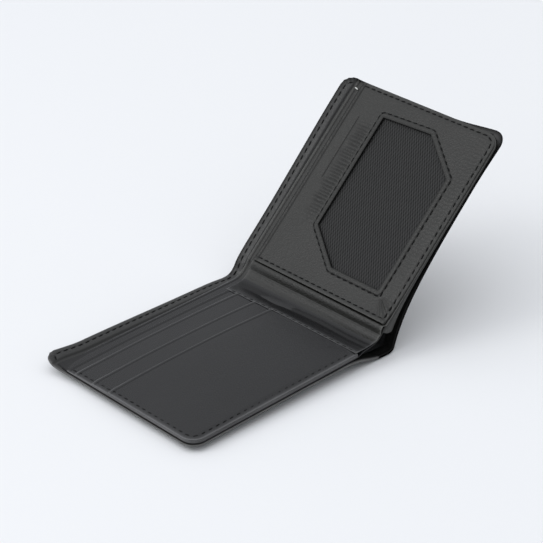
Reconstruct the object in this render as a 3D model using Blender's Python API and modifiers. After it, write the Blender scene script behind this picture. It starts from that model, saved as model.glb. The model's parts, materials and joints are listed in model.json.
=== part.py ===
"""Leather bifold wallet, opened part way and set down on its card side.

Both halves are described from the valley line, where the two inner faces would meet.
A place on a half is (reach, y, depth): reach runs from the valley to the free edge, y runs
along the fold from the bottom seam to the mouth, and depth runs from the inner face outwards.
"""
import math

import bmesh
import bpy
from mathutils import Vector

MM = 0.001

# Driving dimensions.
FOLD_LENGTH = 95.5 * MM
CARD_REACH = 104.5 * MM
ID_REACH = 107.4 * MM
CORNER_RADIUS = 6.5 * MM
SPREAD = math.radians(40.85)
HINGE_REACH = 4.7 * MM
GAP = 0.1 * MM

# Leather and cloth thicknesses.
SHELL = 0.8 * MM
LINING = 0.2 * MM
BACKING = 0.35 * MM
CARD_LEATHER = 0.4 * MM
POCKET_LEATHER = 0.45 * MM
ID_LEATHER = 0.6 * MM
MESH = 0.3 * MM
GUSSET = 0.3 * MM
THREAD_RADIUS = 0.25 * MM

# Upper edges of the card side's layers, measured along the fold.
BACKING_TOP = 89.2 * MM
CARD_PANEL_TOP = 83.1 * MM
SLOT_UPPER_TOP = 77.6 * MM
SLOT_LOWER_TOP = 66.0 * MM
FRONT_POCKET_TOP = 55.0 * MM
ID_PANEL_TOP = 84.1 * MM
FACING_WIDTH = 7.0 * MM

# Seams and hems.
SEAM_INSET = 2.7 * MM
MOUTH_SEAM_INSET = 1.8 * MM
LAYER_INSET = 0.4 * MM
INTERIOR_START = 9.0 * MM
HEM_REACH = 9.9 * MM
FLANGE_START = 7.6 * MM
FLANGE_END = 10.4 * MM
FLANGE_TUCK = 3.5 * MM
FACING_SETBACK = 7.0 * MM

# Six-sided ID window: a rectangle with two opposite corners cut off.
WINDOW_CENTRE = (59.0 * MM, 37.8 * MM)
WINDOW_SIZE = (73.0 * MM, 49.0 * MM)
WINDOW_CUT = (16.0 * MM, 21.0 * MM)
WINDOW_RIM = 2.6 * MM

# The unsewn shell swells away from the fold, most at its bottom end.
BULGE_START = 6.0 * MM
CARD_BULGE = 2.6 * MM
CARD_BULGE_FADE = 8.0 * MM
ID_BULGE = 9.0 * MM
ID_BULGE_FADE = 24.0 * MM
MOUTH_BULGE_SHARE = 0.3
REST_DROP = 4.95 * MM

# Lengths of the handles that round the fold, and how steeply the shell runs into it.
SHELL_PULL = 6.0 * MM
MOUTH_PULL = 4.0 * MM
INNER_PULL = 4.0 * MM
SHELL_SLOPE = math.radians(12)

# Where the bent sheets have their columns, and how many rows lie between their ends.
CARD_STATIONS = [4.75 * MM, 6 * MM, 8 * MM, 11 * MM, 15 * MM, 20 * MM, 28 * MM, 40 * MM]
ID_STATIONS = [4.75 * MM, 7 * MM, 10 * MM, 14 * MM, 19 * MM, 25 * MM, 33 * MM, 43 * MM,
               55 * MM, 70 * MM, 88 * MM]
SHELL_COLUMNS = 10
INNER_COLUMNS = 8
CORNER_ROWS = 5
MIDDLE_ROWS = 7
ROW_SLACK = 0.3 * MM

COLOURS = {
    "shell_leather": ((0.016, 0.016, 0.018, 1), 0.45),
    "card_leather": ((0.022, 0.023, 0.026, 1), 0.42),
    "id_leather": ((0.020, 0.020, 0.020, 1), 0.5),
    "lining_cloth": ((0.010, 0.010, 0.011, 1), 0.9),
    "window_mesh": ((0.012, 0.012, 0.013, 1), 0.8),
    "thread": ((0.008, 0.008, 0.009, 1), 0.6),
}

HINGE_DEPTH = POCKET_LEATHER + 3 * CARD_LEATHER + BACKING + LINING + SHELL + 6 * GAP


def clear_scene():
    for obj in list(bpy.data.objects):
        bpy.data.objects.remove(obj, do_unlink=True)


def make_collection(name):
    collection = bpy.data.collections.new(name)
    bpy.context.scene.collection.children.link(collection)
    return collection


def make_material(name):
    colour, roughness = COLOURS[name]
    material = bpy.data.materials.new(name)
    material.use_nodes = True
    shader = material.node_tree.nodes["Principled BSDF"]
    shader.inputs["Base Color"].default_value = colour
    shader.inputs["Roughness"].default_value = roughness
    shader.inputs["Metallic"].default_value = 0.0
    return material


def make_empty(name, parent, location):
    empty = bpy.data.objects.new(name, None)
    empty.empty_display_size = 0.01
    bpy.context.scene.collection.objects.link(empty)
    empty.parent = parent
    empty.location = location
    return empty


class Half:
    """One body of the wallet: where its pieces are parented, and which way its reach runs."""

    def __init__(self, empty, offset, direction):
        self.empty = empty
        self.offset = offset
        self.direction = direction

    def point(self, reach, y, depth):
        return Vector((self.direction * reach, y, -depth))

    def add(self, obj, collection, material):
        collection.objects.link(obj)
        obj.parent = self.empty
        obj.location = self.offset
        obj.data.materials.append(material)
        return obj


def free_edge(reach, y, inset=0.0):
    """Reach of a half's rounded free edge at y, for a layer set back from it all round."""
    radius = CORNER_RADIUS - inset
    past_corner = max(CORNER_RADIUS - y, y - (FOLD_LENGTH - CORNER_RADIUS), 0)
    return reach - inset - radius + math.sqrt(max(radius ** 2 - past_corner ** 2, 0))


def rows_between(low, high):
    """Rows along y, closer together where the corners turn, shared by all sheets."""
    angles = [math.pi / 2 * i / CORNER_ROWS for i in range(CORNER_ROWS + 1)]
    bottom = [CORNER_RADIUS * (1 - math.cos(a)) for a in angles]
    straight = FOLD_LENGTH - 2 * CORNER_RADIUS
    middle = [CORNER_RADIUS + straight * i / MIDDLE_ROWS for i in range(1, MIDDLE_ROWS)]
    top = [FOLD_LENGTH - y for y in reversed(bottom)]
    return [low] + [y for y in bottom + middle + top if low + ROW_SLACK < y < high - ROW_SLACK] + [high]


def sheet_mesh(name, surface, columns, rows):
    """An open grid whose faces look towards the inside of the wallet."""
    bm = bmesh.new()
    grid = [[bm.verts.new(surface(t, y)) for t in columns] for y in rows]
    for lower, upper in zip(grid, grid[1:]):
        for i in range(len(columns) - 1):
            bm.faces.new((lower[i], lower[i + 1], upper[i + 1], upper[i]))
    bm.normal_update()
    bm.faces.ensure_lookup_table()
    if bm.faces[0].normal.z < 0:
        bmesh.ops.reverse_faces(bm, faces=bm.faces)
    mesh = bpy.data.meshes.new(name)
    bm.to_mesh(mesh)
    bm.free()
    return mesh


def thicken(obj, thickness):
    solidify = obj.modifiers.new("Thickness", "SOLIDIFY")
    solidify.thickness = thickness
    solidify.offset = -1
    solidify.use_even_offset = True


def even_steps(count):
    return [i / count for i in range(count + 1)]


def bent_sheet(name, half, stations, end, span, depth, thickness, inset=None):
    """A sheet on one half whose depth is a function of reach and y.

    Its columns stand at the stations, so that the layers of a stack bend together. The last
    column follows the rounded free edge, set back by the inset, or is straight without one.
    """
    def surface(reach, y):
        place = free_edge(end, y, inset) if reach == end and inset is not None else reach
        return half.point(place, y, depth(place, y))

    obj = bpy.data.objects.new(name, sheet_mesh(name, surface, stations + [end], rows_between(*span)))
    thicken(obj, thickness)
    return obj


def flat_strip(name, half, reach, span, depth, thickness):
    """A flat strip on one half, square at all four corners."""
    start, end = reach

    def surface(t, y):
        return half.point(start + t * (end - start), y, depth)

    obj = bpy.data.objects.new(name, sheet_mesh(name, surface, [0, 1], list(span)))
    thicken(obj, thickness)
    return obj


def flat_layer(name, half, start, reach, top, depth, thickness):
    """A flat layer with its free corner rounded and its upper edge cut straight."""
    def surface(t, y):
        return half.point(start + t * (free_edge(reach, y, LAYER_INSET) - start), y, depth)

    rows = [y for y in rows_between(LAYER_INSET, top) if y <= CORNER_RADIUS or y > top - CORNER_RADIUS]
    obj = bpy.data.objects.new(name, sheet_mesh(name, surface, [0, 1], rows))
    thicken(obj, thickness)
    return obj


def spline_points(spline, points):
    spline.points.add(len(points) - len(spline.points))
    for target, point in zip(spline.points, points):
        target.co = (point[0], point[1], point[2], 1)


def curve_to_mesh(curve_obj):
    """Turn a curve object into a mesh object with welded caps."""
    bpy.context.scene.collection.objects.link(curve_obj)
    bpy.context.view_layer.update()
    evaluated = curve_obj.evaluated_get(bpy.context.evaluated_depsgraph_get())
    mesh = bpy.data.meshes.new_from_object(evaluated)
    mesh.name = curve_obj.name
    bm = bmesh.new()
    bm.from_mesh(mesh)
    bmesh.ops.remove_doubles(bm, verts=bm.verts, dist=0.000001)
    bmesh.ops.recalc_face_normals(bm, faces=bm.faces)
    bm.to_mesh(mesh)
    bm.free()
    name = curve_obj.name
    bpy.data.objects.remove(curve_obj, do_unlink=True)
    obj = bpy.data.objects.new(name, mesh)
    return obj


def thread_object(name, points, closed=False):
    """A sewing thread along a line of points."""
    curve = bpy.data.curves.new(name, "CURVE")
    curve.dimensions = "3D"
    curve.bevel_depth = THREAD_RADIUS
    curve.bevel_resolution = 1
    curve.use_fill_caps = True
    spline = curve.splines.new("POLY")
    spline_points(spline, points)
    spline.use_cyclic_u = closed
    obj = curve_to_mesh(bpy.data.objects.new(name, curve))
    obj.data.shade_smooth()
    return obj


def flat_outline_object(name, outlines, thickness):
    """A flat sheet cut to an outline; further outlines are holes in it."""
    curve = bpy.data.curves.new(name, "CURVE")
    curve.dimensions = "2D"
    curve.fill_mode = "BOTH"
    curve.extrude = thickness / 2
    for outline in outlines:
        spline = curve.splines.new("POLY")
        spline_points(spline, outline)
        spline.use_cyclic_u = True
    return curve_to_mesh(bpy.data.objects.new(name, curve))


def id_panel_outline():
    """Outline of the ID panel: its bottom free corner is rounded, the others are square."""
    rows = [y for y in rows_between(LAYER_INSET, ID_PANEL_TOP) if y <= CORNER_RADIUS]
    corner = [(free_edge(ID_REACH, y, LAYER_INSET), y, 0) for y in rows]
    edge = ID_REACH - LAYER_INSET
    return [(HEM_REACH, LAYER_INSET, 0)] + corner + [(edge, ID_PANEL_TOP, 0), (HEM_REACH, ID_PANEL_TOP, 0)]


def window_outline(margin, z=0.0):
    """The window's six corners, moved outwards by a margin."""
    centre_x, centre_y = WINDOW_CENTRE
    half_x = WINDOW_SIZE[0] / 2 + margin
    half_y = WINDOW_SIZE[1] / 2 + margin
    cut_x, cut_y = WINDOW_CUT
    left, right = centre_x - half_x, centre_x + half_x
    low, high = centre_y - half_y, centre_y + half_y
    corners = [(left, low), (right - cut_x, low), (right, low + cut_y),
               (right, high), (left + cut_x, high), (left, high - cut_y)]
    return [(x, y, z) for x, y in corners]


def bulge_share(y):
    """How much of the shell's bulge is left at y, from all of it at the bottom end."""
    return 1 - (1 - MOUTH_BULGE_SHARE) * y / FOLD_LENGTH


def card_bulge(reach, y):
    """The shell's swelling on the card side; it ends at the last station, and the rest is flat."""
    left = math.exp(-(CARD_STATIONS[-1] - BULGE_START) / CARD_BULGE_FADE)
    here = math.exp(-(reach - BULGE_START) / CARD_BULGE_FADE)
    return CARD_BULGE * max(here - left, 0) * bulge_share(y)


def id_bulge(reach, y):
    taper = 1 - y / FOLD_LENGTH
    return ID_BULGE * math.exp(-(reach - BULGE_START) / ID_BULGE_FADE) * taper


def cubic(a, b, c, d, t):
    u = 1 - t
    return u ** 3 * a + 3 * u ** 2 * t * b + 3 * u * t ** 2 * c + t ** 3 * d


def id_place(reach, depth):
    """A point of the ID side in the card side's frame, as (x, z)."""
    along = Vector((math.cos(SPREAD), math.sin(SPREAD)))
    outward = Vector((math.sin(SPREAD), -math.cos(SPREAD)))
    return along * reach + outward * depth


def always(value):
    """The same value at every y."""
    return lambda y: value


def fold_surface(card_end, id_end, card_pull, id_pull, card_slope=0.0):
    """A surface across the fold, between an end on each half.

    card_end and id_end give (reach, depth) at y. The pulls are the lengths of the curve's
    two handles at y, and card_slope is how steeply it leaves the card side.
    """
    def surface(t, y):
        reach, depth = card_end(y)
        start = Vector((-reach, -depth))
        end = id_place(*id_end(y))
        leave = Vector((math.cos(card_slope), -math.sin(card_slope)))
        arrive = Vector((math.cos(SPREAD), math.sin(SPREAD)))
        first = start + leave * card_pull(y)
        second = end - arrive * id_pull(y)
        x, z = cubic(start, first, second, end, t)
        return Vector((x, y, z))
    return surface


def shell_depths():
    """Depth of each layer's inner face on the card side and on the ID side."""
    card = {"front_pocket": 0.0}
    card["card_slot_lower"] = POCKET_LEATHER + GAP
    card["card_slot_upper"] = card["card_slot_lower"] + CARD_LEATHER + GAP
    card["card_panel"] = card["card_slot_upper"] + CARD_LEATHER + GAP
    card["backing"] = card["card_panel"] + CARD_LEATHER + GAP
    card["lining"] = card["backing"] + BACKING + GAP
    card["shell"] = card["lining"] + LINING + GAP
    inner = {"panel": 0.0, "mesh": ID_LEATHER + GAP}
    inner["pocket_back"] = inner["mesh"] + MESH + GAP
    inner["backing"] = inner["pocket_back"] + CARD_LEATHER + GAP
    inner["lining"] = inner["backing"] + BACKING + GAP
    inner["shell"] = inner["lining"] + LINING + GAP
    return card, inner


def build_shell_half(side, half, collection, materials, stations, reach, depth, bulge):
    """The shell, its lining and its turned facing at the mouth, on one half."""
    def bent(layer):
        return lambda place, y: depth[layer] + bulge(place, y)

    facing_low = FOLD_LENGTH - FACING_WIDTH
    top = FOLD_LENGTH - LAYER_INSET
    shell = bent_sheet("shell_" + side, half, stations, reach, (0, FOLD_LENGTH),
                       bent("shell"), SHELL, inset=0)
    half.add(shell, collection, materials["shell_leather"])
    lining = bent_sheet("lining_" + side, half, stations, reach, (LAYER_INSET, facing_low - GAP),
                        bent("lining"), LINING, inset=LAYER_INSET)
    half.add(lining, collection, materials["lining_cloth"])
    facing = bent_sheet("mouth_facing_" + side, half, stations, reach - FACING_SETBACK,
                        (facing_low, top), bent("lining"), LINING)
    half.add(facing, collection, materials["shell_leather"])


def build_card_side(half, collection, materials, depth):
    leather = materials["card_leather"]
    fold_end = CARD_STATIONS[0]
    build_shell_half("card_side", half, collection, materials, CARD_STATIONS, CARD_REACH,
                     depth, card_bulge)
    layers = [
        ("backing_card_side", fold_end, BACKING_TOP, "backing", BACKING),
        ("card_panel", INTERIOR_START, CARD_PANEL_TOP, "card_panel", CARD_LEATHER),
        ("card_slot_upper", INTERIOR_START, SLOT_UPPER_TOP, "card_slot_upper", CARD_LEATHER),
        ("card_slot_lower", INTERIOR_START, SLOT_LOWER_TOP, "card_slot_lower", CARD_LEATHER),
        ("front_pocket", INTERIOR_START, FRONT_POCKET_TOP, "front_pocket", POCKET_LEATHER),
    ]
    for name, start, top, layer, thickness in layers:
        obj = flat_layer(name, half, start, CARD_REACH, top, depth[layer], thickness)
        half.add(obj, collection, leather)
    flange = flat_strip("gusset_card_flange", half, (FLANGE_START, FLANGE_END),
                        (LAYER_INSET, CARD_PANEL_TOP), -GAP - GUSSET, GUSSET)
    half.add(flange, collection, leather)


def build_shell_spine(half, collection, materials, card, inner):
    """The shell with its lining and its mouth facing, where they bend across the fold."""
    end_reach = HINGE_REACH - 0.5 * GAP
    facing_low = FOLD_LENGTH - FACING_WIDTH

    def pull(y):
        return SHELL_PULL - (SHELL_PULL - MOUTH_PULL) * y / FOLD_LENGTH

    pieces = [
        ("shell_spine", "shell", SHELL, (0, FOLD_LENGTH), "shell_leather"),
        ("lining_spine", "lining", LINING, (LAYER_INSET, facing_low - GAP), "lining_cloth"),
        ("mouth_facing_spine", "lining", LINING, (facing_low, FOLD_LENGTH - LAYER_INSET),
         "shell_leather"),
    ]
    for name, layer, thickness, span, material in pieces:
        def card_end(y, depth=card[layer]):
            return end_reach, depth + card_bulge(HINGE_REACH, y)

        def id_end(y, depth=inner[layer]):
            return end_reach, depth + id_bulge(HINGE_REACH, y)

        surface = fold_surface(card_end, id_end, pull, pull, SHELL_SLOPE)
        mesh = sheet_mesh(name, surface, even_steps(SHELL_COLUMNS), rows_between(*span))
        obj = bpy.data.objects.new(name, mesh)
        thicken(obj, thickness)
        half.add(obj, collection, materials[material])


def build_inner_spine(half, collection, leather, card, inner):
    """The gusset and the backing, where they bend across the fold with straight ends."""
    end_reach = HINGE_REACH - 0.5 * GAP
    pieces = [
        ("gusset_spine", (FLANGE_START - GAP, -GAP - GUSSET), (end_reach, inner["mesh"]),
         GUSSET, CARD_PANEL_TOP),
        ("backing_spine", (end_reach, card["backing"]), (end_reach, inner["backing"]),
         BACKING, BACKING_TOP),
    ]
    for name, card_end, id_end, thickness, top in pieces:
        surface = fold_surface(always(card_end), always(id_end),
                               always(INNER_PULL), always(INNER_PULL))
        mesh = sheet_mesh(name, surface, even_steps(INNER_COLUMNS), [LAYER_INSET, top])
        obj = bpy.data.objects.new(name, mesh)
        thicken(obj, thickness)
        half.add(obj, collection, leather)


def build_id_side(half, collection, materials, depth):
    fold_end = ID_STATIONS[0]
    build_shell_half("id_side", half, collection, materials, ID_STATIONS, ID_REACH,
                     depth, id_bulge)
    backing = flat_layer("backing_id_side", half, fold_end, ID_REACH, BACKING_TOP,
                         depth["backing"], BACKING)
    half.add(backing, collection, materials["card_leather"])
    pocket_back = flat_layer("id_pocket_back", half, HEM_REACH, ID_REACH, ID_PANEL_TOP,
                             depth["pocket_back"], CARD_LEATHER)
    half.add(pocket_back, collection, materials["id_leather"])
    flange = flat_strip("gusset_id_flange", half, (fold_end, HEM_REACH + FLANGE_TUCK),
                        (LAYER_INSET, CARD_PANEL_TOP), depth["mesh"], GUSSET)
    half.add(flange, collection, materials["card_leather"])
    build_id_window(half, collection, materials, depth)


def build_id_window(half, collection, materials, depth):
    panel = flat_outline_object("id_panel", [id_panel_outline(), window_outline(0)], ID_LEATHER)
    half.add(panel, collection, materials["id_leather"])
    panel.location = half.offset - Vector((0, 0, ID_LEATHER / 2))
    mesh = flat_outline_object("id_window_mesh", [window_outline(WINDOW_RIM)], MESH)
    half.add(mesh, collection, materials["window_mesh"])
    mesh.location = half.offset - Vector((0, 0, depth["mesh"] + MESH / 2))


def build_threads(card_half, fold_half, id_half, collection, material, card, inner):
    lift = THREAD_RADIUS + GAP
    mouth = FOLD_LENGTH - MOUTH_SEAM_INSET
    steps = even_steps(12)
    fold_end = HINGE_REACH + 0.5 * GAP

    def mouth_line(half, depth, bulge, reach):
        last = reach - CORNER_RADIUS
        reaches = [fold_end + (last - fold_end) * t for t in steps]
        return [half.point(r, mouth, depth["lining"] + bulge(r, mouth) - lift) for r in reaches]

    card_half.add(thread_object("thread_mouth_card_side",
                                mouth_line(card_half, card, card_bulge, CARD_REACH)),
                  collection, material)
    id_half.add(thread_object("thread_mouth_id_side",
                              mouth_line(id_half, inner, id_bulge, ID_REACH)),
                collection, material)
    end = HINGE_REACH - 0.5 * GAP
    card_end = (end, card["lining"] + card_bulge(HINGE_REACH, mouth) - lift)
    id_end = (end, inner["lining"] + id_bulge(HINGE_REACH, mouth) - lift)
    surface = fold_surface(always(card_end), always(id_end),
                           always(MOUTH_PULL), always(MOUTH_PULL), SHELL_SLOPE)
    points = [surface(t, mouth) for t in even_steps(8)]
    fold_half.add(thread_object("thread_mouth_spine", points), collection, material)

    def edge_line(half, start, reach, top, depth):
        """Along the bottom seam, round the free corner and up the free edge."""
        right = reach - SEAM_INSET
        radius = CORNER_RADIUS - SEAM_INSET
        turn = [math.pi / 2 * i / 5 for i in range(6)]
        corner = [(right - radius + radius * math.sin(a), SEAM_INSET + radius - radius * math.cos(a))
                  for a in turn]
        path = [(start, SEAM_INSET)] + corner + [(right, top)]
        return [half.point(r, y, depth) for r, y in path]

    card_half.add(thread_object("thread_edge_card_side",
                                edge_line(card_half, FLANGE_END + 2 * MM, CARD_REACH,
                                          FRONT_POCKET_TOP - MM, -lift)),
                  collection, material)
    seam = [card_half.point(HEM_REACH - 0.2 * MM, y, -GAP - GUSSET - lift)
            for y in (SEAM_INSET, CARD_PANEL_TOP - SEAM_INSET)]
    card_half.add(thread_object("thread_gusset_card_side", seam), collection, material)
    hem = [id_half.point(HEM_REACH + 2 * MM, ID_PANEL_TOP - SEAM_INSET, -lift)]
    edge = edge_line(id_half, HEM_REACH + 2 * MM, ID_REACH, ID_PANEL_TOP - CORNER_RADIUS, -lift)
    id_half.add(thread_object("thread_edge_id_side", hem + edge), collection, material)
    window = thread_object("thread_window", window_outline(WINDOW_RIM, lift), closed=True)
    id_half.add(window, collection, material)


def stand_on_floor(root, parts):
    """Move the root so that the bottom centre of the whole box is the origin."""
    bpy.context.view_layer.update()
    depsgraph = bpy.context.evaluated_depsgraph_get()
    corners = []
    for obj in parts:
        evaluated = obj.evaluated_get(depsgraph)
        mesh = evaluated.to_mesh()
        corners += [evaluated.matrix_world @ v.co for v in mesh.vertices]
        evaluated.to_mesh_clear()
    low = [min(c[i] for c in corners) for i in range(3)]
    high = [max(c[i] for c in corners) for i in range(3)]
    root.location -= Vector(((low[0] + high[0]) / 2, (low[1] + high[1]) / 2, low[2]))
    bpy.context.view_layer.update()


def build_wallet():
    clear_scene()
    collection = make_collection("bifold_wallet")
    materials = {name: make_material(name) for name in COLOURS}
    card_depths, id_depths = shell_depths()

    root = make_empty("wallet_frame", None, (0, 0, 0))
    root.rotation_euler = (0, -math.atan2(REST_DROP, CARD_REACH + BULGE_START), 0)
    # The fold turns about this line against the card side.
    card_hinge = Vector((-HINGE_REACH, 0, -HINGE_DEPTH))
    fold_empty = make_empty("fold_hinge", root, card_hinge)
    # The ID side turns about this line against the fold.
    x, z = id_place(HINGE_REACH, HINGE_DEPTH)
    id_hinge = Vector((x, 0, z))
    id_empty = make_empty("id_hinge", fold_empty, id_hinge - card_hinge)
    id_empty.rotation_euler = (0, -SPREAD, 0)

    card_half = Half(root, Vector((0, 0, 0)), -1)
    fold_half = Half(fold_empty, -card_hinge, 1)
    id_half = Half(id_empty, Vector((-HINGE_REACH, 0, HINGE_DEPTH)), 1)
    build_card_side(card_half, collection, materials, card_depths)
    build_shell_spine(fold_half, collection, materials, card_depths, id_depths)
    build_inner_spine(fold_half, collection, materials["card_leather"], card_depths, id_depths)
    build_id_side(id_half, collection, materials, id_depths)
    build_threads(card_half, fold_half, id_half, collection, materials["thread"],
                  card_depths, id_depths)
    stand_on_floor(root, list(collection.objects))


build_wallet()
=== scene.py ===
import json
import math

import bpy
import numpy as np
from mathutils import Matrix, Vector

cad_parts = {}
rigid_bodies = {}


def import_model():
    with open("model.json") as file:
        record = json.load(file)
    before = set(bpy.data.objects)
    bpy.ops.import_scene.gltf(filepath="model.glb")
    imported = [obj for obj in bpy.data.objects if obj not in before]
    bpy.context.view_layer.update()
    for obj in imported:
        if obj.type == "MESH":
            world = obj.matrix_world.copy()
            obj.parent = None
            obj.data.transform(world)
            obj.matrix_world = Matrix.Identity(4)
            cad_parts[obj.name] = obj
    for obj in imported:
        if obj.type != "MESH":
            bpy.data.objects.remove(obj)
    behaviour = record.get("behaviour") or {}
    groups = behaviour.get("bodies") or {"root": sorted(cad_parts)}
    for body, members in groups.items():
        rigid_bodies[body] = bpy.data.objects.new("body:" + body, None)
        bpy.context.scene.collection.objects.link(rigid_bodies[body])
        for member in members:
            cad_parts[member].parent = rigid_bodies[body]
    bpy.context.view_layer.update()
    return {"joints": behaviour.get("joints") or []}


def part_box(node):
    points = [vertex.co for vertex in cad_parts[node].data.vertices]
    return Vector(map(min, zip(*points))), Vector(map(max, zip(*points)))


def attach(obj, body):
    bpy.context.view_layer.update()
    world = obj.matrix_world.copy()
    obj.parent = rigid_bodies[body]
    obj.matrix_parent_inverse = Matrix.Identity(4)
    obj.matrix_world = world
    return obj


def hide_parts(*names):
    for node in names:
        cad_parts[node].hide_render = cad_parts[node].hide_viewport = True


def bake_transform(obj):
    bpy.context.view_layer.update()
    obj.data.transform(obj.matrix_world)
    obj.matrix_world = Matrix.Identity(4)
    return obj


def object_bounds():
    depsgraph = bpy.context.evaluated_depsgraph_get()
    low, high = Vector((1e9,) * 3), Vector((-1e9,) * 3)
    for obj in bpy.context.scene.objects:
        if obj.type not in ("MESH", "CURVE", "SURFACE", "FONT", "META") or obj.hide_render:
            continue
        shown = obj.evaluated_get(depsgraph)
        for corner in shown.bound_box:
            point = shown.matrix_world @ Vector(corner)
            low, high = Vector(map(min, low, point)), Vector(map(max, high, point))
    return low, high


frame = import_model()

# Looks of the half-open bifold wallet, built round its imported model.
#
# Shapes are worked out in millimetres in the wallet's own frame: x runs from the lying card side
# across the fold, y along the fold from the bottom seam to the mouth, and z up from the card
# side's inner face. to_row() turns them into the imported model's frame, in metres. A half's own
# places are its reach, the distance out from the fold, its y, and its height over its inner face.

MM = 0.001

# The wallet's driving dimensions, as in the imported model. SPREAD is the ID side's rise over the
# card side, LEAN is how the whole wallet tips on the table, and MIDDLE is the fold's centre.
LENGTH = 95.5
CARD_REACH = 104.5
ID_REACH = 107.9
CORNER = 6.5
SPREAD = math.radians(40.85)
LEAN = math.atan2(4.95, 110.5)
HINGE_REACH = 4.7
HINGE_DEPTH = 3.6
CARD_TILT = 0.016
MIDDLE = np.array([0.6, 0.0, -1.6])

# Heights of the layers over their half's inner face, and thicknesses. A pair is a layer's height
# and the y of its upper edge.
CARD_OUTER = -3.6
ID_OUTER = -3.15
SHELL = 0.8
TURNED = 0.75
LEATHER = 0.42
FRONT_POCKET = (0.0, 55.0)
SLOT_LOWER = (-0.55, 66.0)
SLOT_UPPER = (-1.05, 77.6)
CARD_PANEL = (-1.55, 83.1)
BACKING = (-2.05, 89.2)
ID_PANEL_TOP = 84.1
ID_BACKING = -1.6
ID_POCKET_BACK = -1.12
WINDOW_MESH = -0.93
LAYER_INSET = 0.6
LAYER_START = 9.0
POCKET_SWELL = 1.3
SWELL_WIDTH = 95.0
SWAY = 0.07

# Depth of the line pressed along an upper edge, and the strip along that edge that is darkened with painted
# shade.
LINE_DEPTH = 0.06
EDGE_SHADE_STRIP = 0.4

# Strip along an edge that is lightened, partly as rubbed wear and partly as a painted highlight, and the
# angle from which an edge is sharp.
RUBBED_AND_LIT_STRIP = 0.45
SHARP_ANGLE = math.radians(75)

# Rounding of a layer's edge, and the slightly raised lip along its upper edge.
EDGE_POWER = 2.3
LIP = 0.22
LIP_PLACE = 0.7
LIP_WIDTH = 0.6

# How much thinner the sewn edge is pressed, and the strip in which that fades.
SQUEEZE = 0.13
SQUEEZE_STRIP = (0.3, 4.5)

# The shell's slack: how far it bulges next to the fold, and the length in which that fades.
SLACK_START = 6.0
CARD_SLACK = 2.8
CARD_SLACK_LENGTH = 8.0
ID_SLACK = 12.0
ID_SLACK_LENGTH = 20.0
MOUTH_SLACK = 1.1
MOUTH_SLACK_LENGTH = 3.5

# The lift of the shell's mouth rim, above this line along the fold.
RIM_LINE = 84.0
CARD_RIM_LIFT = 2.2
ID_RIM_LIFT = 2.1

# The turned leather along the mouth and the turned bottom edge, and the pleats in its corner.
FACING_EDGE = (5.2, 6.4)
FACING_LINE = (88.9, 90.0)
BOTTOM_HEM = (4.8, 6.0)
PLEAT = 0.28
PLEATS_PER_RADIAN = 17

# The lining's extent along the fold, its gap to the shell's free edge, and its two faces.
LINING_LOW = 6.6
LINING_HIGH = 88.2
LINING_INSET = 2.0
LINING_FRONT = 0.24
LINING_BACK = 0.08

# The seam allowances gathered at the fold's bottom corner, which swell the ID side's stack.
STACK_SWELL = 5.4
STACK_SWELL_LENGTH = 12.5
STACK_SWELL_DEPTH = 4.5
STACK_TIP = 10.8
STACK_TIP_RADIUS = 3.6

# Seams.
PITCH = 3.8
STITCH = 2.7
STITCH_TILT = 0.10
EDGE_SEAM = 2.8
ID_EDGE_SEAM = 2.4
MOUTH_SEAM = 2.7
HEM = 9.9
HEM_SEAM = 11.9
GUSSET_FOLD = 10.25
GUSSET_SEAM = 9.7

# The ID window and what surrounds it.
WINDOW = [(22.5, 13.3), (79.8, 13.3), (96.0, 33.8), (94.8, 62.3), (37.6, 62.3), (22.5, 42.4)]
RIM = 2.6
PRESSED_LINE = 75.4
HEM_CURL_LENGTH = 6.5
ID_PANEL_BACK = -0.55
# The most painted shade that the ID panel gets.
DARKEST_PAINTED_SHADE = 1.8
MESH_SLANT = 32.5
MESH_RIB = 1.15
MESH_ROW = 2.1

WINDOW_MARGIN = 2.0
MESH_STEP = 0.24

FAR = 1000.0

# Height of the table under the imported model's zero, and how softly leather settles on it.
TABLE = -0.8
TABLE_SOFTNESS = 1.2

# Scale of a wave texture with one band per unit, and the near-black colour of painted shade in grooves,
# gaps and creases.
BANDS_PER_UNIT = 0.314
PAINTED_SHADE_COLOUR = (0.003, 0.003, 0.003)

# Direction of the brightest part of the studio's ceiling.
BRIGHT_SKY = (-0.36, 0.22, 0.91)

# Places close to an edge that shows, and close to the fold.
NEAR_EDGE = np.array([0, 0.04, 0.12, 0.24, 0.4, 0.6, 0.85, 1.15, 1.5, 1.9, 2.3, 2.7, 3.1, 3.6, 4.2])
NEAR_FOLD = np.array([0.5, 1.0, 1.6, 2.2, 2.6, 2.8, 3.1, 3.5, 4.1, 4.9, 5.8, 6.8, 8.0, 9.4])


# ---- Small tools ----

def smooth(low, high, value):
    """Eases from 0 at low to 1 at high."""
    t = np.clip((value - low) / (high - low), 0, 1)
    return t * t * (3 - 2 * t)


def bump(value, centre, width):
    """A bell of height 1 round a centre."""
    return np.exp(-((value - centre) / width) ** 2)


def rounded(distance, radius):
    """Share of the full thickness at a distance from a rounded edge."""
    t = 1 - np.clip(distance / radius, 0, 1)
    return (1 - t ** EDGE_POWER) ** (1 / EDGE_POWER)


def rolled(distance, radius, depth):
    """How far a rolled edge turns down at a distance from its outline."""
    return depth * (1 - np.sqrt(1 - (1 - np.clip(distance / radius, 0, 1)) ** 2))


def edge_distance(reach, y, end, low=0.0, high=FAR):
    """Distance in from an outline with a free edge, a bottom, a top and rounded free corners."""
    across = reach - (end - CORNER)
    along = np.maximum(low + CORNER - y, y - (high - CORNER))
    outside = np.hypot(np.maximum(across, 0), np.maximum(along, 0))
    return CORNER - outside - np.minimum(np.maximum(across, along), 0)


def free_edge(y, end, low=0.0, high=FAR):
    """Reach of the rounded free edge at y."""
    past = np.maximum(np.maximum(low + CORNER - y, y - (high - CORNER)), 0)
    return end - CORNER + np.sqrt(np.maximum(CORNER ** 2 - past ** 2, 0))


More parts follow.
